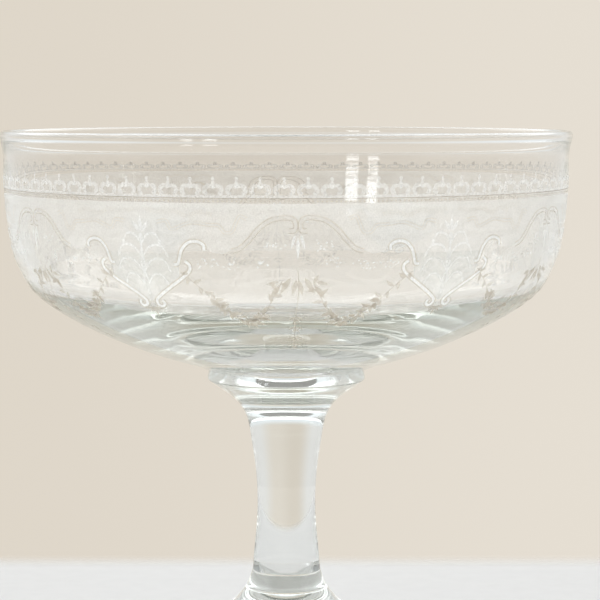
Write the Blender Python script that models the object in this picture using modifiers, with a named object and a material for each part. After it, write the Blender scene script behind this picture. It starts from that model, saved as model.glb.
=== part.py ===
"""Champagne coupe in clear blown glass, modelled as the gathers that it is joined from.

A wide saucer bowl with a fire-polished rim stands on a flanged disc, the merese. Below the
disc a waisted stem opens upwards like a trumpet, and a small ring joins the stem to a domed
foot. Every piece is turned about the Z axis. The foot stands on the plane Z = 0.
"""

import math

import bpy
from mathutils import Vector
from mathutils.geometry import interpolate_bezier

MM = 0.001

# Driving dimensions
TOTAL_HEIGHT = 91.5 * MM
RIM_RADIUS = 47.5 * MM
RIM_BEAD_RADIUS = 0.75 * MM
BOWL_DEPTH = 39.6 * MM
WALL_THICKNESS = 1.1 * MM
SHOULDER_THICKNESS = 1.5 * MM
BOWL_BASE_THICKNESS = 4.0 * MM
MERESE_RADIUS = 13.2 * MM
MERESE_THICKNESS = 1.7 * MM
STEM_THROAT_RADIUS = 6.1 * MM
STEM_WAIST_RADIUS = 4.9 * MM
STEM_FOOT_RADIUS = 5.72 * MM
RING_RADIUS = 6.7 * MM
FOOT_NECK_RADIUS = 6.9 * MM
FOOT_RADIUS = 32.5 * MM
FOOT_EDGE_RADIUS = 0.9 * MM
FOOT_HOLLOW = 2.0 * MM
REST_RING_WIDTH = 7.0 * MM
JOINT_GAP = 0.3 * MM

# Points on the bowl's outside, as (radius, height)
WALL_TOP = Vector((RIM_RADIUS - 0.4 * MM, TOTAL_HEIGHT - 2.2 * MM))
SHOULDER = Vector((43.3 * MM, TOTAL_HEIGHT - 24.65 * MM))
BOWL_BASE = Vector((MERESE_RADIUS - 0.3 * MM, TOTAL_HEIGHT - BOWL_DEPTH))

# Which way the bowl's outside runs on its way down, in degrees: -90 is straight down
WALL_HEADING = -92.3
SHOULDER_HEADING = -113
CONE_HEADING = -167.5

# Heights above the table
MERESE_TOP = BOWL_BASE.y - JOINT_GAP
MERESE_BOTTOM = MERESE_TOP - MERESE_THICKNESS
STEM_TOP = MERESE_BOTTOM - JOINT_GAP
THROAT_HEIGHT = 40.9 * MM
WAIST_HEIGHT = 29.1 * MM
STEM_BOTTOM = 17.6 * MM
RING_TOP = STEM_BOTTOM - JOINT_GAP
RING_BOTTOM = 14.5 * MM
FOOT_TOP = RING_BOTTOM - JOINT_GAP

# Segments around the axis, for the wide pieces and for the slender ones
WIDE_STEPS = 72
SLENDER_STEPS = 48


def heading(degrees, length):
    """A step in the (radius, height) plane: 0 degrees points outwards and 90 points up."""
    angle = math.radians(degrees)
    return Vector((math.cos(angle), math.sin(angle))) * length


def arc(centre, radius, start, end, count):
    """Points on a circular arc from the start angle to the end angle, in degrees."""
    turn = (end - start) / (count - 1)
    return [centre + heading(start + turn * i, radius) for i in range(count)]


def sweep(start, start_step, end_step, end, count):
    """Points on a Bezier curve that leaves along start_step and arrives along end_step."""
    return interpolate_bezier(start, start + start_step, end - end_step, end, count)


def bowl_profile():
    """From the centre of the inside up to the rim, over its bead and down the outside."""
    inner_base = Vector((0, BOWL_BASE.y + BOWL_BASE_THICKNESS))
    inner_shoulder = SHOULDER + heading(SHOULDER_HEADING - 90, SHOULDER_THICKNESS)
    inner_wall_top = WALL_TOP - Vector((WALL_THICKNESS, 0))
    up_shoulder = SHOULDER_HEADING + 180
    up_wall = WALL_HEADING + 180
    inner_cone = sweep(
        inner_base, heading(0, 24 * MM), heading(up_shoulder, 3.8 * MM), inner_shoulder, 13
    )
    inner_wall = sweep(
        inner_shoulder, heading(up_shoulder, 4.3 * MM), heading(up_wall, 18 * MM), inner_wall_top, 8
    )
    bead_centre = Vector((RIM_RADIUS - RIM_BEAD_RADIUS, TOTAL_HEIGHT - RIM_BEAD_RADIUS))
    bead = arc(bead_centre, RIM_BEAD_RADIUS, 210, -30, 9)
    outer_wall = sweep(
        WALL_TOP, heading(WALL_HEADING, 19.2 * MM), heading(SHOULDER_HEADING, 4.8 * MM), SHOULDER, 9
    )
    outer_cone = sweep(
        SHOULDER, heading(SHOULDER_HEADING, 4.8 * MM), heading(CONE_HEADING, 14.6 * MM), BOWL_BASE, 13
    )
    base_centre = Vector((0, BOWL_BASE.y))
    return inner_cone + inner_wall[1:] + bead + outer_wall + outer_cone[1:] + [base_centre]


def merese_profile():
    """A thin disc whose side leans out to a sharp lower edge."""
    edge = 0.12 * MM
    upper = Vector((BOWL_BASE.x - edge, MERESE_TOP - edge))
    lower = Vector((MERESE_RADIUS - edge, MERESE_BOTTOM + edge))
    return [
        Vector((0, MERESE_TOP)),
        *arc(upper, edge, 90, 10, 4),
        *arc(lower, edge, 10, -90, 5),
        Vector((0, MERESE_BOTTOM)),
    ]


def stem_profile():
    """A trumpet under the merese that runs into a solid waisted rod."""
    lip = Vector((MERESE_RADIUS - 0.3 * MM, STEM_TOP))
    throat = Vector((STEM_THROAT_RADIUS, THROAT_HEIGHT))
    waist = Vector((STEM_WAIST_RADIUS, WAIST_HEIGHT))
    foot = Vector((STEM_FOOT_RADIUS, STEM_BOTTOM))
    trumpet = sweep(lip, heading(-147, 4.9 * MM), heading(-98, 5 * MM), throat, 12)
    upper_rod = sweep(throat, heading(-98, 3.6 * MM), heading(-90, 5 * MM), waist, 7)
    lower_rod = sweep(waist, heading(-90, 4 * MM), heading(-86, 4 * MM), foot, 6)
    return [
        Vector((0, STEM_TOP)),
        *trumpet,
        *upper_rod[1:],
        *lower_rod[1:],
        Vector((0, STEM_BOTTOM)),
    ]


def ring_profile():
    """A small collar that swells towards its lower edge."""
    edge = 0.2 * MM
    top = Vector((STEM_FOOT_RADIUS, RING_TOP))
    lower = Vector((RING_RADIUS - edge, RING_BOTTOM + edge))
    side = sweep(top, heading(-70, 0.9 * MM), heading(-62, 0.6 * MM), lower + heading(20, edge), 6)
    return [
        Vector((0, RING_TOP)),
        *side,
        *arc(lower, edge, 0, -90, 4),
        Vector((0, RING_BOTTOM)),
    ]


def foot_profile():
    """A domed skirt with a rounded edge, on a flat ring around a shallow hollow."""
    neck = Vector((FOOT_NECK_RADIUS, FOOT_TOP))
    edge_centre = Vector((FOOT_RADIUS - FOOT_EDGE_RADIUS, FOOT_EDGE_RADIUS))
    edge = arc(edge_centre, FOOT_EDGE_RADIUS, 90, -90, 9)
    skirt = sweep(neck, heading(-50, 6.5 * MM), heading(-7, 13 * MM), edge[0], 14)
    hollow_edge = Vector((edge_centre.x - REST_RING_WIDTH, 0))
    hollow_top = Vector((0, FOOT_HOLLOW))
    hollow = sweep(hollow_edge, heading(150, 4 * MM), heading(180, 12 * MM), hollow_top, 9)
    return [Vector((0, FOOT_TOP)), *skirt, *edge[1:], *hollow]


def glass(name, colour, roughness):
    """Clear soda glass with a faint tint."""
    material = bpy.data.materials.new(name)
    material.use_nodes = True
    shader = material.node_tree.nodes["Principled BSDF"]
    shader.inputs["Base Color"].default_value = (*colour, 1)
    shader.inputs["Metallic"].default_value = 0
    shader.inputs["Roughness"].default_value = roughness
    shader.inputs["Transmission Weight"].default_value = 1
    shader.inputs["IOR"].default_value = 1.5
    return material


def turned(name, profile, steps, material, collection):
    """A solid of revolution about Z from a profile that runs down its outer side."""
    points = [(point.x, 0, point.y) for point in profile]
    edges = [(i, i + 1) for i in range(len(points) - 1)]
    mesh = bpy.data.meshes.new(name)
    mesh.from_pydata(points, edges, [])
    mesh.materials.append(material)
    piece = bpy.data.objects.new(name, mesh)
    collection.objects.link(piece)
    screw = piece.modifiers.new("Turn", "SCREW")
    screw.axis = "Z"
    screw.angle = math.tau
    screw.steps = steps
    screw.render_steps = steps
    screw.use_merge_vertices = True
    screw.merge_threshold = 0.00001
    screw.use_smooth_shade = True
    return piece


def build():
    for old in list(bpy.data.objects):
        bpy.data.objects.remove(old)
    coupe = bpy.data.collections.new("champagne_coupe")
    bpy.context.scene.collection.children.link(coupe)
    clear = glass("bowl_glass", (0.96, 0.97, 0.96), 0.02)
    turned("bowl", bowl_profile(), WIDE_STEPS, clear, coupe)
    clear = glass("merese_glass", (0.95, 0.96, 0.96), 0.03)
    turned("merese", merese_profile(), SLENDER_STEPS, clear, coupe)
    clear = glass("stem_glass", (0.95, 0.97, 0.97), 0.02)
    turned("stem", stem_profile(), SLENDER_STEPS, clear, coupe)
    clear = glass("foot_ring_glass", (0.94, 0.96, 0.95), 0.03)
    turned("foot_ring", ring_profile(), SLENDER_STEPS, clear, coupe)
    clear = glass("foot_glass", (0.95, 0.96, 0.95), 0.02)
    turned("foot", foot_profile(), WIDE_STEPS, clear, coupe)


build()
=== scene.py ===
"""Visual model of an etched champagne coupe: smooth glass, fine ornament and a pale studio."""

import bisect
import math
import random

import bmesh
import bpy
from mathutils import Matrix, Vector


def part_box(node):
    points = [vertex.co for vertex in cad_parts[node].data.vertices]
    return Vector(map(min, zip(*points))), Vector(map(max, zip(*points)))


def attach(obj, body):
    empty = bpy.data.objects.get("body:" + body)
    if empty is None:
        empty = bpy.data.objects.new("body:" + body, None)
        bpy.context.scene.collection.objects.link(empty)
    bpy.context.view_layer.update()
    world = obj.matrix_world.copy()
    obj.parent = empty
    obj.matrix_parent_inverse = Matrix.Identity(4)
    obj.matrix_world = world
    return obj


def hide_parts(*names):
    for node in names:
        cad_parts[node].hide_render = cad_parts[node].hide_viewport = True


MM = 0.001
TOUCH = 0.001 * MM
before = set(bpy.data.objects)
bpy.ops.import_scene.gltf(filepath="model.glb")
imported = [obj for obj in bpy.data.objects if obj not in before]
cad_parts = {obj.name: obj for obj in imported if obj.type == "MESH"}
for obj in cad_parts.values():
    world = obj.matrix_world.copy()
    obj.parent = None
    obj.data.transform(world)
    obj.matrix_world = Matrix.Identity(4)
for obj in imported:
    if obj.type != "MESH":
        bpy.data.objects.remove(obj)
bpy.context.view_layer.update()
scene = bpy.context.scene
rim_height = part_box("bowl")[1].z
CORNER_ANGLE = math.radians(42)
SHARP_EDGE_ANGLE = math.radians(35)
OUTLINE_STEP = 0.5 * MM

# ---------------------------------------------------------------- outlines read from the solids


def section(node):
    """The node's outline in the half-plane X > 0, from its axis at the top to its axis at the bottom."""
    welded = bmesh.new()
    welded.from_mesh(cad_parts[node].data)
    bmesh.ops.remove_doubles(welded, verts=welded.verts, dist=TOUCH)
    on_plane = {v for v in welded.verts if abs(v.co.y) < TOUCH and v.co.x > -TOUCH}
    neighbours = {}
    for v in on_plane:
        linked = [edge.other_vert(v) for edge in v.link_edges]
        neighbours[v] = [other for other in linked if other in on_plane]
    ends = sorted((v for v in on_plane if len(neighbours[v]) == 1), key=lambda v: v.co.z)
    path = [ends[-1]]
    while path[-1] is not ends[0]:
        path += [v for v in neighbours[path[-1]] if v not in path[-2:]]
    points = [Vector((v.co.x, v.co.z)) for v in path]
    welded.free()
    if points[0].x > TOUCH:
        points.insert(0, Vector((0, points[0].y)))
    if points[-1].x > TOUCH:
        points.append(Vector((0, points[-1].y)))
    return points


def is_corner(before, point, after):
    """True where the outline turns by more than an arc's step does."""
    return (point - before).angle(after - point) > CORNER_ANGLE


def smooth(points, spacing):
    """The outline through every point, as round arcs between its corners, and no lower than it was."""
    lowest = min(point.y for point in points)
    result = [points[0].copy()]
    last = len(points) - 1
    for i in range(last):
        start, end = points[i], points[i + 1]
        length = (end - start).length
        before = points[i - 1] if i > 0 else start
        after = points[i + 2] if i + 2 <= last else end
        sharp_start = i == 0 or is_corner(before, start, end)
        sharp_end = i + 1 == last or is_corner(start, end, after)
        leave = (end - start) if sharp_start else tangent(before, start, end) * length
        arrive = (end - start) if sharp_end else tangent(start, end, after) * length
        steps = max(1, math.ceil(length / spacing))
        for k in range(1, steps + 1):
            t = k / steps
            result.append(
                start * (2 * t**3 - 3 * t**2 + 1)
                + leave * (t**3 - 2 * t**2 + t)
                + end * (3 * t**2 - 2 * t**3)
                + arrive * (t**3 - t**2)
            )
    for point in result:
        point.y = max(point.y, lowest)
    return result


def tangent(before, point, after):
    """The direction at a point, from the circle through it and its neighbours."""
    first, second = point - before, after - point
    return (first / first.length_squared + second / second.length_squared).normalized()


# ---------------------------------------------------------------- materials


def new_material(name):
    """An empty material, with its nodes and links."""
    material = bpy.data.materials.new(name)
    material.use_nodes = True
    material.node_tree.nodes.clear()
    return material, material.node_tree.nodes, material.node_tree.links


def feed(links, source, socket):
    """Give a socket its value: a link from another socket, or a number or colour."""
    if isinstance(source, bpy.types.NodeSocket):
        links.new(source, socket)
    else:
        socket.default_value = source


def math_node(nodes, links, operation, *values):
    """The result of a Math node over sockets and numbers."""
    node = nodes.new("ShaderNodeMath")
    node.operation = operation
    for socket, value in zip(node.inputs, values):
        feed(links, value, socket)
    return node.outputs["Value"]


def map_range(nodes, links, value, source, target, kind="LINEAR"):
    """The value carried over from one span to another, and held inside it."""
    node = nodes.new("ShaderNodeMapRange")
    node.interpolation_type = kind
    for label, number in zip(("From Min", "From Max", "To Min", "To Max"), (*source, *target)):
        node.inputs[label].default_value = number
    links.new(value, node.inputs["Value"])
    return node.outputs["Result"]


def smooth_step(nodes, links, value, low, high):
    """0 at low and 1 at high, with a smooth change between them."""
    return map_range(nodes, links, value, (low, high), (0, 1), "SMOOTHSTEP")


def blend(nodes, links, part, first, second):
    """The first colour mixed with so large a part of the second."""
    mix = nodes.new("ShaderNodeMix")
    mix.data_type = "RGBA"
    for index, source in ((0, part), (6, first), (7, second)):
        feed(links, source, mix.inputs[index])
    return mix.outputs[2]


def mixed(nodes, links, part, first, second):
    """The first shader mixed with so large a part of the second."""
    mix = nodes.new("ShaderNodeMixShader")
    for socket, source in zip(mix.inputs, (part, first, second)):
        feed(links, source, socket)
    return mix.outputs["Shader"]


# The faint green that thick glass lets through, and how strongly it absorbs, per metre
BODY_COLOUR = (0.30, 0.35, 0.22, 1)
BODY_DENSITY = 8.0
GLASS_IOR = 1.5
SHADOW_TINT = (0.93, 0.94, 0.93, 1)
WAVE_SCALE = 90
WAVE_STRENGTH = 0.05
WAVE_HEIGHT = 0.2 * MM


def uneven_normal(nodes, links):
    """The normal of hand-made glass, with faint waves in it."""
    place = nodes.new("ShaderNodeTexCoord")
    waves = nodes.new("ShaderNodeTexNoise")
    waves.inputs["Scale"].default_value = WAVE_SCALE
    waves.inputs["Detail"].default_value = 2
    bump = nodes.new("ShaderNodeBump")
    bump.inputs["Strength"].default_value = WAVE_STRENGTH
    bump.inputs["Distance"].default_value = WAVE_HEIGHT
    links.new(place.outputs["Object"], waves.inputs["Vector"])
    links.new(waves.outputs["Fac"], bump.inputs["Height"])
    return bump.outputs["Normal"]


def clear_glass(name, tint):
    """Old soda glass that lets lamps' light pass, and all light at its hot joints."""
    material, nodes, links = new_material(name)
    glass = nodes.new("ShaderNodeBsdfPrincipled")
    glass.inputs["Base Color"].default_value = (*tint, 1)
    glass.inputs["Transmission Weight"].default_value = 1
    glass.inputs["Roughness"].default_value = 0.0
    glass.inputs["IOR"].default_value = GLASS_IOR
    links.new(uneven_normal(nodes, links), glass.inputs["Normal"])
    passing = nodes.new("ShaderNodeBsdfTransparent")
    passing.inputs["Color"].default_value = SHADOW_TINT
    shadow = nodes.new("ShaderNodeLightPath").outputs["Is Shadow Ray"]
    surface = mixed(nodes, links, shadow, glass.outputs["BSDF"], passing.outputs["BSDF"])
    joined = nodes.new("ShaderNodeAttribute")
    joined.attribute_name = "hot_joint"
    straight = nodes.new("ShaderNodeBsdfTransparent")
    surface = mixed(nodes, links, joined.outputs["Fac"], surface, straight.outputs["BSDF"])
    body = nodes.new("ShaderNodeVolumeAbsorption")
    body.inputs["Color"].default_value = BODY_COLOUR
    body.inputs["Density"].default_value = BODY_DENSITY
    output = nodes.new("ShaderNodeOutputMaterial")
    links.new(surface, output.inputs["Surface"])
    links.new(body.outputs["Volume"], output.inputs["Volume"])
    return material


# ---------------------------------------------------------------- glass pieces

STACK = ["bowl", "merese", "stem", "foot_ring", "foot"]
TURNS = 256
JOINT_SLIT = 0.01 * MM


def turned_ring(shape, point):
    """The vertices that an outline's point makes when it goes round: a single one on the axis."""
    if point.x < TOUCH:
        return [shape.verts.new((0, 0, point.y))]
    angles = [math.tau * i / TURNS for i in range(TURNS)]
    return [shape.verts.new((point.x * math.cos(a), point.x * math.sin(a), point.y)) for a in angles]


def turned(name, points, material, joint_planes):
    """A smooth piece turned about Z, whose flat ends against its neighbours let light pass."""
    shape = bmesh.new()
    rings = [turned_ring(shape, point) for point in points]
    for upper, lower in zip(rings, rings[1:]):
        for i in range(TURNS):
            around = ((upper, i), (lower, i), (lower, i + 1), (upper, i + 1))
            unique = list(dict.fromkeys(ring[k % len(ring)] for ring, k in around))
            if len(unique) > 2:
                face = shape.faces.new(unique)
                face.smooth = True
    bmesh.ops.recalc_face_normals(shape, faces=shape.faces)
    joined = shape.faces.layers.float.new("hot_joint")
    for face in shape.faces:
        centre = face.calc_center_median()
        for height, radius in joint_planes:
            if abs(centre.z - height) < 2 * JOINT_SLIT and centre.xy.length < radius:
                face[joined] = 1.0
    mesh = bpy.data.meshes.new(name)
    shape.to_mesh(mesh)
    shape.free()
    mesh.materials.append(material)
    mesh.set_sharp_from_angle(angle=SHARP_EDGE_ANGLE)
    piece = bpy.data.objects.new(name, mesh)
    scene.collection.objects.link(piece)
    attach(piece, "root")
    return piece


outlines = {node: section(node) for node in STACK}
joints = []
for upper, lower in zip(STACK, STACK[1:]):
    above, below = outlines[upper], outlines[lower]
    height = (above[-1].y + below[0].y) / 2
    radius = min(above[-2].x, below[1].x)
    for point in above[-2:]:
        point.y = height + JOINT_SLIT
    for point in below[:2]:
        point.y = height - JOINT_SLIT
    if above[-2].x > radius + TOUCH:
        above.insert(-1, Vector((radius, height + JOINT_SLIT)))
    if below[1].x > radius + TOUCH:
        below.insert(1, Vector((radius, height - JOINT_SLIT)))
    joints.append((height, radius))

tints = {
    "bowl": (0.947, 0.941, 0.932),
    "merese": (0.97, 0.968, 0.962),
    "stem": (0.98, 0.99, 0.99),
    "foot_ring": (0.975, 0.985, 0.98),
    "foot": (0.98, 0.985, 0.98),
}
for node in STACK:
    outline = smooth(outlines[node], OUTLINE_STEP)
    glass = clear_glass(node + "_clear", tints[node])
    piece = turned(node + "_glass", outline, glass, joints)
    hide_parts(node)

# ---------------------------------------------------------------- ornament on the bowl's outside

# Places are (turn, depth): degrees to the right of the front, and millimetres below the rim
UNITS = 6
UNIT_TURN = 360 / UNITS
FIRST_CENTRE = 2.5
ETCH_LIFT = 0.02 * MM
DOT_SIDES = 8
LEAF_STEPS = 6
bowl_side = outlines["bowl"]
bowl_side = bowl_side[max(range(len(bowl_side)), key=lambda i: bowl_side[i].y):-1]
bowl_depths = [(rim_height - point.y) / MM for point in bowl_side]


def on_bowl(turn, depth):
    """The point on the bowl's outside and its normal."""
    i = min(max(bisect.bisect(bowl_depths, depth), 1), len(bowl_side) - 1)
    upper, lower = bowl_side[i - 1], bowl_side[i]
    part = (depth - bowl_depths[i - 1]) / (bowl_depths[i] - bowl_depths[i - 1])
    here = upper.lerp(lower, part)
    along = (lower - upper).normalized()
    out = Vector((-along.y, along.x))
    angle = math.radians(turn)
    right = Vector((math.sin(angle), -math.cos(angle), 0))
    up = Vector((0, 0, 1))
    normal = right * out.x + up * out.y
    return right * here.x + up * here.y + normal * ETCH_LIFT, normal


def moved(turn, depth, across, down):
    """The place that lies so many millimetres to the right and down the bowl's side."""
    i = min(max(bisect.bisect(bowl_depths, depth), 1), len(bowl_side) - 1)
    upper, lower = bowl_side[i - 1], bowl_side[i]
    drop = (bowl_depths[i] - bowl_depths[i - 1]) * MM / (lower - upper).length
    return turn + math.degrees(across * MM / lower.x), depth + down * drop


def curve(places, steps=6):
    """A smooth path through the places."""
    padded = [places[0], *places, places[-1]]
    result = [places[0]]
    for before, start, end, after in zip(padded, padded[1:], padded[2:], padded[3:]):
        for k in range(1, steps + 1):
            t = k / steps
            weights = (
                -t + 2 * t**2 - t**3,
                2 - 5 * t**2 + 3 * t**3,
                t + 4 * t**2 - 3 * t**3,
                t**3 - t**2,
            )
            near = (before, start, end, after)
            result.append(tuple(sum(w * p[i] for w, p in zip(weights, near)) / 2 for i in range(2)))
    return result


def even(_):
    """A line's width: the same all along."""
    return 1.0


def leaf_width(t):
    """A leaf's width: widest before the middle, pointed at both ends."""
    return max(0.06, math.sin(math.pi * t**0.8))


def stroke_width(t):
    """An engraved stroke's width: full in the middle, finer at both ends."""
    return 0.35 + 0.65 * math.sin(math.pi * t) ** 0.7


def stroke(shape, path, width, profile=even, shift=0.0):
    """A ribbon along the path, in millimetres wide, shifted sideways by so many millimetres."""
    points = [on_bowl(*place) for place in path]
    pairs = []
    last = len(points) - 1
    for i, (point, normal) in enumerate(points):
        along = points[min(i + 1, last)][0] - points[max(i - 1, 0)][0]
        side = normal.cross(along).normalized()
        centre = point + side * shift * MM
        half = side * width * MM * profile(i / last) / 2
        pairs.append((shape.verts.new(centre - half), shape.verts.new(centre + half)))
    for (a, b), (c, d) in zip(pairs, pairs[1:]):
        shape.faces.new((a, c, d, b))


def dot(shape, place, radius):
    """A small round spot."""
    angles = [k * math.tau / DOT_SIDES for k in range(DOT_SIDES)]
    ring = [moved(*place, radius * math.cos(angle), radius * math.sin(angle)) for angle in angles]
    shape.faces.new([shape.verts.new(on_bowl(*spot)[0]) for spot in reversed(ring)])


def leaf(shape, place, heading, length, width, bend=0.0):
    """A leaf from its root; a heading of 0 points right, 90 down; the bend curls it, in degrees."""
    path = [place]
    step = length / LEAF_STEPS
    for k in range(LEAF_STEPS):
        angle = math.radians(heading + bend * (k / (LEAF_STEPS - 1) - 0.5))
        path.append(moved(*path[-1], step * math.cos(angle), step * math.sin(angle)))
    stroke(shape, path, width, leaf_width)


def strap(shape, places, gap, width):
    """Two fine lines that run side by side, with clear glass between them."""
    path = curve(places)
    stroke(shape, path, width, even, -gap / 2)
    stroke(shape, path, width, even, gap / 2)


def mirrored(centre, side, places):
    """The places, given from a centre line, on one side of it."""
    return [(centre + side * turn, depth) for turn, depth in places]


def units():
    """The turns of the arches' middles."""
    return [FIRST_CENTRE + UNIT_TURN * k for k in range(UNITS)]


def etching(name, draw, material):
    """One piece of ornament, drawn by the given function."""
    shape = bmesh.new()
    draw(shape)
    mesh = bpy.data.meshes.new(name)
    shape.to_mesh(mesh)
    shape.free()
    for face in mesh.polygons:
        face.use_smooth = True
    mesh.materials.append(material)
    piece = bpy.data.objects.new(name, mesh)
    scene.collection.objects.link(piece)
    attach(piece, "root")
    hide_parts("bowl")


# The frieze under the rim
FRIEZE_UNITS = 84
FRIEZE_BASE = 9.03
OUTLINE_LOW = 9.3
OUTLINE_HIGH = 8.8
BEADS = 5 * FRIEZE_UNITS
BEAD_DEPTH = 9.72
FRIEZE_ARM = [(0, 7.75), (0.75, 7.45), (1.35, 7.7), (1.6, 8.2), (1.35, 8.6), (0.95, 8.45)]
FRIEZE_BUD = [(0, 6.15), (0.3, 6.4), (0.15, 6.75), (0.3, 7.1), (0.2, 7.5)]


def ring_path(depth, start=0, end=360):
    """A level line at the depth, from one whole degree to another."""
    return [(turn, depth) for turn in range(start, end + 1)]


def draw_frieze(shape):
    """Palmettes with a bud on top, on a line."""
    stroke(shape, ring_path(FRIEZE_BASE), 0.42)
    for k in range(FRIEZE_UNITS):
        turn = 360 * k / FRIEZE_UNITS
        dot(shape, (turn, 6.45), 0.30)
        leaf(shape, (turn, 7.95), -90, 1.4, 0.7)
        for side in (-1, 1):
            stroke(shape, curve(mirrored(turn, side, FRIEZE_ARM), 3), 0.72, stroke_width)


def draw_painted_shade_outlines(shape):
    """Fine dark lines that edge the frieze at the back, where it is crisp: painted shade, for the etched
    edges that look dark seen through the bowl against the lit wall.
    """
    stroke(shape, ring_path(OUTLINE_LOW), 0.1)
    stroke(shape, ring_path(OUTLINE_HIGH, 90, 270), 0.1)
    for k in range(FRIEZE_UNITS // 4, 3 * FRIEZE_UNITS // 4 + 1):
        turn = 360 * k / FRIEZE_UNITS
        for side in (-1, 1):
            for shift in (-0.24, 0.24):
                stroke(shape, curve(mirrored(turn, side, FRIEZE_ARM), 3), 0.17, even, shift)
            stroke(shape, curve(mirrored(turn, side, FRIEZE_BUD), 3), 0.26)


def draw_beads(shape):
    """The row of beads between the frieze and the ground."""
    for k in range(BEADS):
        dot(shape, (360 * k / BEADS, BEAD_DEPTH), 0.15)


# The frosted ground, from the beads down to the scrolls
GROUND_TOP = 10.05
SHADE_TOP = 17.6
PAINTED_SHEEN_LOW = 25.6
BAND_COLUMNS = 1440
BAND_ROWS = 6
ARCH = [
    (1.7, 14.0), (0.7, 14.0), (0.4, 13.1), (1.0, 12.3), (2.6, 12.1),
    (5.0, 12.5), (7.2, 13.8), (8.8, 15.3), (10.5, 16.6), (12.2, 17.1),
]
SHOULDER = [
    (12.6, 17.0), (12.5, 16.2), (11.2, 15.7), (9.6, 15.9),
    (8.3, 16.9), (7.7, 18.2), (7.3, 19.1), (6.5, 19.2),
]
CRADLE = [
    (8.7, 18.7), (9.6, 19.3), (9.3, 20.3), (7.2, 21.6), (4.8, 22.8), (2.5, 24.0),
    (1.3, 24.8), (1.3, 25.5), (2.1, 25.8), (2.8, 25.4), (2.5, 24.9),
]
GROUND_EDGE = [
    (0.0, 12.6), (0.9, 12.0), (2.6, 11.75), (5.1, 12.15), (7.4, 13.5), (9.0, 15.0),
    (10.7, 16.3), (12.3, 17.0), (14.0, 17.5), (16.2, 17.2), (17.2, 15.9), (18.7, 15.35),
    (20.4, 15.5), (21.9, 16.6), (22.5, 18.2), (22.3, 19.6), (20.9, 20.0), (22.9, 21.2),
    (25.2, 22.5), (27.6, 23.7), (29.0, 24.6), (30.0, 25.0),
]


def ground_edge(turn):
    """How far down the frosted ground reaches, at so many degrees from a unit's centre."""
    folded = abs((turn + UNIT_TURN / 2) % UNIT_TURN - UNIT_TURN / 2)
    for (left, first), (right, second) in zip(GROUND_EDGE, GROUND_EDGE[1:]):
        if left <= folded <= right:
            return first + (second - first) * (folded - left) / (right - left)
    return GROUND_EDGE[-1][1]


def draw_band(shape, top, bottom):
    """Columns of faces all round the bowl, between two depths that depend on the turn."""
    columns = []
    for k in range(BAND_COLUMNS):
        turn = 360 * k / BAND_COLUMNS
        high, low = top(turn - FIRST_CENTRE), bottom(turn - FIRST_CENTRE)
        depths = [high + (low - high) * i / BAND_ROWS for i in range(BAND_ROWS + 1)]
        column = None
        if low - high > 0.1:
            column = [shape.verts.new(on_bowl(turn, depth)[0]) for depth in depths]
        columns.append(column)
    for left, right in zip(columns, columns[1:] + columns[:1]):
        if left and right:
            for i in range(BAND_ROWS):
                shape.faces.new((left[i], left[i + 1], right[i + 1], right[i]))


def draw_ground(shape):
    """The frosted ground itself."""
    draw_band(shape, lambda turn: GROUND_TOP, ground_edge)


def draw_painted_sheen(shape):
    """Painted sheen: a faint white frost on the clear glass under the ground, which brightens it in
    place of the pale reflection of the bright light above.
    """
    draw_band(shape, ground_edge, lambda turn: PAINTED_SHEEN_LOW)


def draw_shade(shape):
    """Stippling that darkens the ground inside the cradles."""
    draw_band(shape, lambda turn: SHADE_TOP, ground_edge)


def draw_straps(shape):
    """Ogee arches, and scrolled cradles between them."""
    for centre in units():
        middle = centre + UNIT_TURN / 2
        for side in (-1, 1):
            strap(shape, mirrored(centre, side, ARCH), 0.68, 0.18)
            strap(shape, mirrored(middle, side, SHOULDER), 0.66, 0.18)
            strap(shape, mirrored(middle, side, CRADLE), 0.66, 0.18)


def draw_cores(shape):
    """The white bands inside the cradles' straps."""
    for centre in units():
        middle = centre + UNIT_TURN / 2
        for side in (-1, 1):
            stroke(shape, curve(mirrored(middle, side, SHOULDER)), 0.42)
            stroke(shape, curve(mirrored(middle, side, CRADLE)), 0.42)


RIBBON = [
    (3.5, 12.9), (5.4, 12.7), (6.4, 13.9), (8.4, 13.4), (10.5, 12.9), (13.5, 13.2),
    (15.5, 13.3), (16.6, 14.3), (18.0, 14.2), (18.8, 12.8), (19.5, 11.9), (20.7, 12.3),
]
KNOT = [(1.2, 11.0), (4.0, 11.4), (7.0, 11.2), (9.4, 11.9), (12.0, 11.3), (14.4, 11.7)]


def draw_ribbons(shape):
    """Ribbons that flutter from the top of each cradle across the ground."""
    for centre in units():
        middle = centre + UNIT_TURN / 2
        for side in (-1, 1):
            strap(shape, mirrored(middle, side, RIBBON), 0.44, 0.12)
            strap(shape, mirrored(middle, side, KNOT), 0.34, 0.11)


GARLAND = [
    (22.4, 20.3), (20.6, 21.5), (18.6, 22.9), (16.4, 24.6), (13.6, 26.5), (10.8, 27.9),
    (8.6, 27.9), (6.9, 26.8), (5.4, 25.2), (4.2, 23.4), (3.0, 21.6),
]
DENSE = 0.6


def draw_garlands(shape):
    """Leafy swags between the cradles and the middle of each arch."""
    random.seed(7)
    for centre in units():
        for side in (-1, 1):
            path = curve(mirrored(centre, side, GARLAND), 4)
            stroke(shape, path, 0.16)
            last = len(path) - 1
            for i in range(1, last):
                ahead = on_bowl(*path[i + 1])[0] - on_bowl(*path[i - 1])[0]
                heading = math.degrees(math.atan2(-ahead.z, side * -math.hypot(ahead.x, ahead.y)))
                full = math.sin(math.pi * i / last) ** 2
                for lean in (-1, 1):
                    if (i + lean) % 4 == 0 or (full > DENSE and i % 2 == 0):
                        angle = heading + lean * random.uniform(38, 78)
                        leaf(shape, path[i], angle, random.uniform(1.2, 1.9), 0.62, 24 * lean)
                if full > DENSE:
                    for _ in range(5):
                        down = random.uniform(-1.1, 1.1)
                        spot = moved(*path[i], random.uniform(-0.5, 0.5), down)
                        dot(shape, spot, random.uniform(0.14, 0.26))


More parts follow.
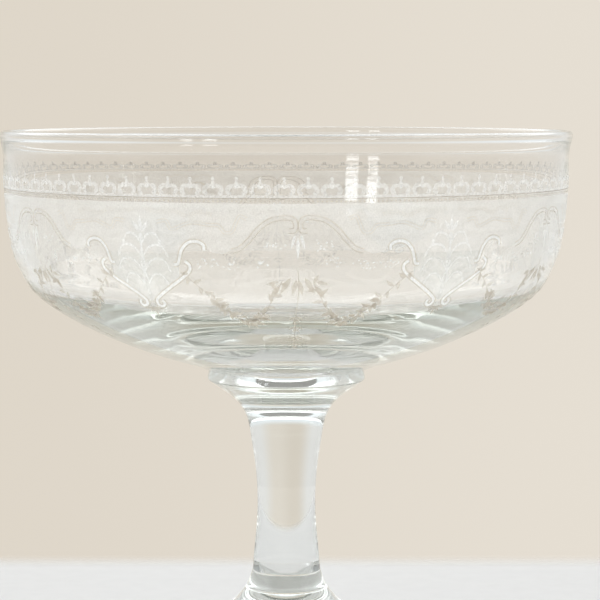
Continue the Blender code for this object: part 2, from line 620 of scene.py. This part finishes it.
PENDANT_STALK = [(0.0, 19.6), (0.25, 23.0), (-0.2, 27.5), (0.0, 33.0)]
CRADLE_TIP = 26.0


def draw_pendants(shape):
    """A hanging bunch of leaves in the middle of each arch, and a sprig under each cradle."""
    for centre in units():
        tip = (centre + UNIT_TURN / 2, CRADLE_TIP)
        stroke(shape, curve(mirrored(centre, 1, PENDANT_STALK)), 0.15)
        for side in (-1, 1):
            leaf(shape, (centre + side * 0.2, 21.4), 90 - side * 14, 2.6, 0.8)
            leaf(shape, (centre + side * 1.3, 21.0), 90 - side * 30, 3.2, 0.85)
            leaf(shape, (centre + side * 3.4, 22.3), 90 - side * 34, 2.6, 0.8)
            leaf(shape, (centre + side * 3.6, 21.6), 90 - side * 74, 1.9, 0.65)
            for depth in (27.2, 28.9, 30.6, 32.0):
                leaf(shape, (centre, depth), 90 - side * 58, 1.3, 0.5)
                leaf(shape, (centre, depth + 0.3), 90 - side * 24, 1.1, 0.42)
            leaf(shape, tip, 90 - side * 76, 1.7, 0.5)
            leaf(shape, tip, 90 - side * 40, 1.5, 0.45)
        leaf(shape, tip, 90, 2.1, 0.55)


SPRAY = [
    [(0.0, 24.0), (0.5, 21.8), (-0.3, 19.4), (0.0, 17.0), (0.0, 14.6)],
    [(0.2, 22.6), (1.8, 21.0), (3.4, 20.8), (4.3, 21.6)],
    [(0.0, 20.6), (1.9, 18.7), (4.2, 18.5), (5.3, 19.5)],
    [(0.0, 18.4), (1.6, 16.7), (3.8, 16.4), (5.0, 17.3)],
    [(0.0, 16.4), (1.2, 14.9), (2.9, 14.7), (3.7, 15.5)],
]


def draw_sprays(shape):
    """A spray of long leaves inside each cradle, and a tassel under each arch."""
    for centre in units():
        middle = centre + UNIT_TURN / 2
        for side in (-1, 1):
            for branch in SPRAY:
                stroke(shape, curve(mirrored(middle, side, branch)), 0.36, stroke_width)
                leaf(shape, (middle + side * branch[-1][0], branch[-1][1]), 90 - side * 20, 1.0, 0.5)
            leaf(shape, (middle + side * 0.3, 14.4), -90 + side * 32, 1.9, 0.6)
            leaf(shape, (centre + side * 0.5, 14.6), 90 - side * 16, 2.2, 0.45)
        leaf(shape, (middle, 14.4), -90, 2.4, 0.6)
        leaf(shape, (centre, 15.0), 90, 3.4, 0.5)


FLOWERS = [(4.6, 16.2), (6.8, 18.7), (12.6, 19.1), (17.2, 19.0)]


def draw_flowers(shape):
    """Small stippled flowers on the clear glass under the arches."""
    random.seed(11)
    for centre in units():
        for side in (-1, 1):
            for place in mirrored(centre, side, FLOWERS):
                for _ in range(16):
                    away = random.uniform(0, 1.25)
                    around = random.uniform(0, math.tau)
                    spot = moved(*place, 1.5 * away * math.cos(around), 0.8 * away * math.sin(around))
                    dot(shape, spot, random.uniform(0.07, 0.15))


FAR_BACK = 25 * MM


def etched(name, tint, cover, spread, grain, far):
    """Acid-matted glass: crystals that scatter light, with clear glass between them.

    Its strength goes from full in front to far at the back: a painted light effect that makes the
    ornament on the far side fainter than the same etching in front.
    """
    material, nodes, links = new_material(name)
    front = nodes.new("ShaderNodeBsdfDiffuse")
    through = nodes.new("ShaderNodeBsdfTranslucent")
    front.inputs["Color"].default_value = (*tint, 1)
    through.inputs["Color"].default_value = (*tint, 1)
    matt = mixed(nodes, links, 0.5, front.outputs["BSDF"], through.outputs["BSDF"])
    place = nodes.new("ShaderNodeTexCoord")
    fine = nodes.new("ShaderNodeTexNoise")
    fine.inputs["Scale"].default_value = grain
    fine.inputs["Detail"].default_value = 3
    fine.inputs["Roughness"].default_value = 0.7
    links.new(place.outputs["Object"], fine.inputs["Vector"])
    covers = (cover - spread, cover + spread)
    density = map_range(nodes, links, fine.outputs["Fac"], (0.35, 0.65), covers)
    split = nodes.new("ShaderNodeSeparateXYZ")
    links.new(place.outputs["Object"], split.inputs["Vector"])
    # Painted light: the etching thins towards the back, so the ornament on the far side reads fainter
    # than the same etching in front
    back_fade = map_range(nodes, links, split.outputs["Y"], (0, FAR_BACK), (1, far))
    strength = math_node(nodes, links, "MULTIPLY", density, back_fade)
    clear = nodes.new("ShaderNodeBsdfTransparent")
    surface = mixed(nodes, links, strength, clear.outputs["BSDF"], matt)
    output = nodes.new("ShaderNodeOutputMaterial")
    links.new(surface, output.inputs["Surface"])
    return material


etched_white = etched("etched_white", (0.97, 0.97, 0.96), 0.62, 0.12, 2600, 1.0)
etched_veil = etched("etched_veil", (0.97, 0.965, 0.955), 0.28, 0.10, 2600, 0.8)
etched_soft = etched("etched_soft", (0.97, 0.965, 0.955), 0.48, 0.14, 2600, 1.0)
etched_mist = etched("etched_mist", (0.94, 0.92, 0.895), 0.38, 0.06, 5200, 1.0)
# Painted shade: the beads, straps and ribbons are the same matt glass tinted brown-grey, so that dense
# etched lines look dark against the bright glass behind them
etched_painted_shade_line = etched("etched_painted_shade_line", (0.62, 0.56, 0.48), 0.62, 0.12, 2600, 1.0)
# Painted sheen: a faint white frost under the ground that brightens the lower bowl in place of the pale
# reflection of the bright light above
etched_painted_sheen = etched("etched_painted_sheen", (0.97, 0.965, 0.955), 0.17, 0.03, 5200, 1.0)
etched_shade = etched("etched_shade", (0.72, 0.72, 0.69), 0.32, 0.18, 3600, 1.0)
# Painted shade: a dark brown tint for the frieze's edges at the back, which look dark seen through the
# bowl against the lit wall
etched_painted_shade_fine = etched("etched_painted_shade_fine", (0.36, 0.32, 0.27), 0.62, 0.12, 2600, 1.0)
# Painted shade: the garlands and hanging leaves are the same matt glass tinted brown-grey, so that they
# look dark against the bright lower bowl, and are made faint at the back
etched_painted_shade_leafwork = etched("etched_painted_shade_leafwork", (0.62, 0.56, 0.48), 0.62, 0.10, 2600, 0.25)

etching("etched_frieze", draw_frieze, etched_veil)
etching("etched_painted_shade_outlines", draw_painted_shade_outlines, etched_painted_shade_fine)
etching("etched_beads", draw_beads, etched_painted_shade_line)
etching("etched_ground", draw_ground, etched_mist)
etching("etched_painted_sheen", draw_painted_sheen, etched_painted_sheen)
etching("etched_shade", draw_shade, etched_shade)
etching("etched_straps", draw_straps, etched_painted_shade_line)
etching("etched_cores", draw_cores, etched_white)
etching("etched_ribbons", draw_ribbons, etched_painted_shade_line)
etching("etched_garlands", draw_garlands, etched_painted_shade_leafwork)
etching("etched_pendants", draw_pendants, etched_painted_shade_leafwork)
etching("etched_sprays", draw_sprays, etched_soft)
etching("etched_flowers", draw_flowers, etched_white)

# ---------------------------------------------------------------- floor, backdrop and light

FLOOR_BACK = 94 * MM
FLOOR_FADE = 14 * MM
FLOOR_SIZE = 3.0
FLOOR_TOP = -0.1 * MM
FLOOR_DARK = (0.67, 0.645, 0.625, 1)
FLOOR_LIGHT = (0.73, 0.705, 0.685, 1)


def floor_material():
    """A white table top with a faint warm grain, which ends softly at its back edge."""
    material, nodes, links = new_material("pale_floor")
    place = nodes.new("ShaderNodeTexCoord")
    grain = nodes.new("ShaderNodeTexNoise")
    grain.inputs["Scale"].default_value = 260
    grain.inputs["Detail"].default_value = 4
    links.new(place.outputs["Object"], grain.inputs["Vector"])
    surface = nodes.new("ShaderNodeBsdfPrincipled")
    surface.inputs["Roughness"].default_value = 0.6
    colour = blend(nodes, links, grain.outputs["Fac"], FLOOR_DARK, FLOOR_LIGHT)
    links.new(colour, surface.inputs["Base Color"])
    split = nodes.new("ShaderNodeSeparateXYZ")
    links.new(place.outputs["Object"], split.inputs["Vector"])
    back = FLOOR_SIZE / 2
    edge = smooth_step(nodes, links, split.outputs["Y"], back - FLOOR_FADE, back)
    ended = nodes.new("ShaderNodeBsdfTransparent")
    faded = mixed(nodes, links, edge, surface.outputs["BSDF"], ended.outputs["BSDF"])
    output = nodes.new("ShaderNodeOutputMaterial")
    links.new(faded, output.inputs["Surface"])
    return material


def make_floor():
    """The table under the glass."""
    middle = (0, FLOOR_BACK - FLOOR_SIZE / 2, FLOOR_TOP)
    bpy.ops.mesh.primitive_plane_add(size=FLOOR_SIZE, location=middle)
    floor = bpy.context.object
    floor.name = "floor"
    floor.data.materials.append(floor_material())


def ramp(nodes, links, value, low, high, first, second):
    """A colour that goes smoothly from the first to the second as the value goes from low to high."""
    return blend(nodes, links, smooth_step(nodes, links, value, low, high), first, second)


def pane(nodes, links, across, up, left, right):
    """1 inside a tall window pane between two tangents of azimuth, with soft edges."""
    away = math_node(nodes, links, "SUBTRACT", across, (left + right) / 2)
    away = math_node(nodes, links, "ABSOLUTE", away)
    half = (right - left) / 2
    inside = smooth_step(nodes, links, away, half + PANE_EDGE, half - PANE_EDGE)
    return math_node(nodes, links, "MULTIPLY", inside, up)


def make_world():
    """A warm wall behind, pale at its sides, a bright sky and a soft box above it, a dim ceiling
    overhead, and a dark room in front with a window of two panes."""
    world = bpy.data.worlds.new("studio")
    scene.world = world
    world.use_nodes = True
    nodes, links = world.node_tree.nodes, world.node_tree.links
    nodes.clear()
    output = nodes.new("ShaderNodeOutputWorld")
    background = nodes.new("ShaderNodeBackground")
    place = nodes.new("ShaderNodeTexCoord")
    split = nodes.new("ShaderNodeSeparateXYZ")
    links.new(place.outputs["Generated"], split.inputs["Vector"])
    # A direction's parts: y points at the wall, and -y at the room behind the camera
    x, y, z = split.outputs["X"], split.outputs["Y"], split.outputs["Z"]
    wall = ramp(nodes, links, x, -0.16, 0.16, WALL_LEFT, WALL_RIGHT)
    wall = ramp(nodes, links, math_node(nodes, links, "ABSOLUTE", x), 0.22, 0.60, wall, SIDE_LIGHT)
    sky = ramp(nodes, links, z, 0.12, 0.28, wall, LOW_SKY_LIGHT)
    sky = ramp(nodes, links, z, 0.30, 0.42, sky, HIGH_SKY_LIGHT)
    above = ramp(nodes, links, z, 0.30, 0.42, sky, SOFT_BOX_LIGHT)
    sky = ramp(nodes, links, y, 0.30, 0.50, sky, above)
    sky = ramp(nodes, links, z, CEILING_EDGE - 0.01, CEILING_EDGE + 0.01, sky, CEILING_LIGHT)
    colour = ramp(nodes, links, y, -0.75, -0.3, ROOM_LIGHT, sky)
    across = math_node(nodes, links, "DIVIDE", x, math_node(nodes, links, "MINIMUM", y, -0.01))
    over_sill = math_node(nodes, links, "GREATER_THAN", z, WINDOW_LOW)
    under_top = math_node(nodes, links, "LESS_THAN", z, WINDOW_HIGH)
    in_front = math_node(nodes, links, "LESS_THAN", y, -0.05)
    up = math_node(nodes, links, "MULTIPLY", over_sill, under_top)
    up = math_node(nodes, links, "MULTIPLY", up, in_front)
    for left, right in WINDOW_PANES:
        lit = pane(nodes, links, across, up, left, right)
        colour = blend(nodes, links, lit, colour, WINDOW_LIGHT)
    links.new(colour, background.inputs["Color"])
    links.new(background.outputs["Background"], output.inputs["Surface"])


def soft_lamp(name, size, power, place, target):
    """A large soft lamp that lights the table and the etching, but isn't mirrored in the glass."""
    data = bpy.data.lights.new(name, "AREA")
    data.shape = "DISK"
    data.size = size
    data.energy = power
    lamp = bpy.data.objects.new(name, data)
    lamp.location = place
    lamp.rotation_euler = (Vector(target) - Vector(place)).to_track_quat("-Z", "Y").to_euler()
    scene.collection.objects.link(lamp)
    lamp.visible_camera = False
    lamp.visible_glossy = False
    lamp.visible_transmission = False


WALL_LEFT = (0.735, 0.675, 0.585, 1)
WALL_RIGHT = (0.79, 0.735, 0.65, 1)
SIDE_LIGHT = (0.82, 0.815, 0.79, 1)
LOW_SKY_LIGHT = (0.90, 0.95, 0.97, 1)
HIGH_SKY_LIGHT = (1.15, 1.22, 1.27, 1)
SOFT_BOX_LIGHT = (2.5, 2.6, 2.65, 1)
CEILING_LIGHT = (0.42, 0.42, 0.41, 1)
CEILING_EDGE = 0.82
ROOM_LIGHT = (0.18, 0.18, 0.175, 1)
WINDOW_LIGHT = (6.0, 6.3, 6.6, 1)
WINDOW_LOW = 0.0
WINDOW_HIGH = 0.21
WINDOW_PANES = ((0.50, 0.63), (0.74, 0.88))
PANE_EDGE = 0.008
KEY_POWER = 0.6
FILL_POWER = 7.5
make_floor()
make_world()
soft_lamp("key", 1.2, KEY_POWER, (-0.3, 0.1, 1.3), (0, 0, 0))
soft_lamp("fill", 1.0, FILL_POWER, (-0.2, -1.4, 0.35), (0, 0, 0.07))

# ---------------------------------------------------------------- camera

CAMERA_LENS = 130.4
CAMERA_PLACE = (0.0023, -0.363, rim_height + 0.005)
CAMERA_PITCH = 5.26
LIGHT_BOUNCES = 48
CLEAR_BOUNCES = 64

camera_data = bpy.data.cameras.new("camera")
camera_data.sensor_width = 36
camera_data.lens = CAMERA_LENS
camera = bpy.data.objects.new("camera", camera_data)
camera.location = CAMERA_PLACE
camera.rotation_euler = (math.radians(90 - CAMERA_PITCH), 0, 0)
scene.collection.objects.link(camera)
scene.camera = camera

scene.view_settings.view_transform = "Standard"
scene.cycles.max_bounces = LIGHT_BOUNCES
scene.cycles.transmission_bounces = LIGHT_BOUNCES
scene.cycles.glossy_bounces = LIGHT_BOUNCES
scene.cycles.transparent_max_bounces = CLEAR_BOUNCES
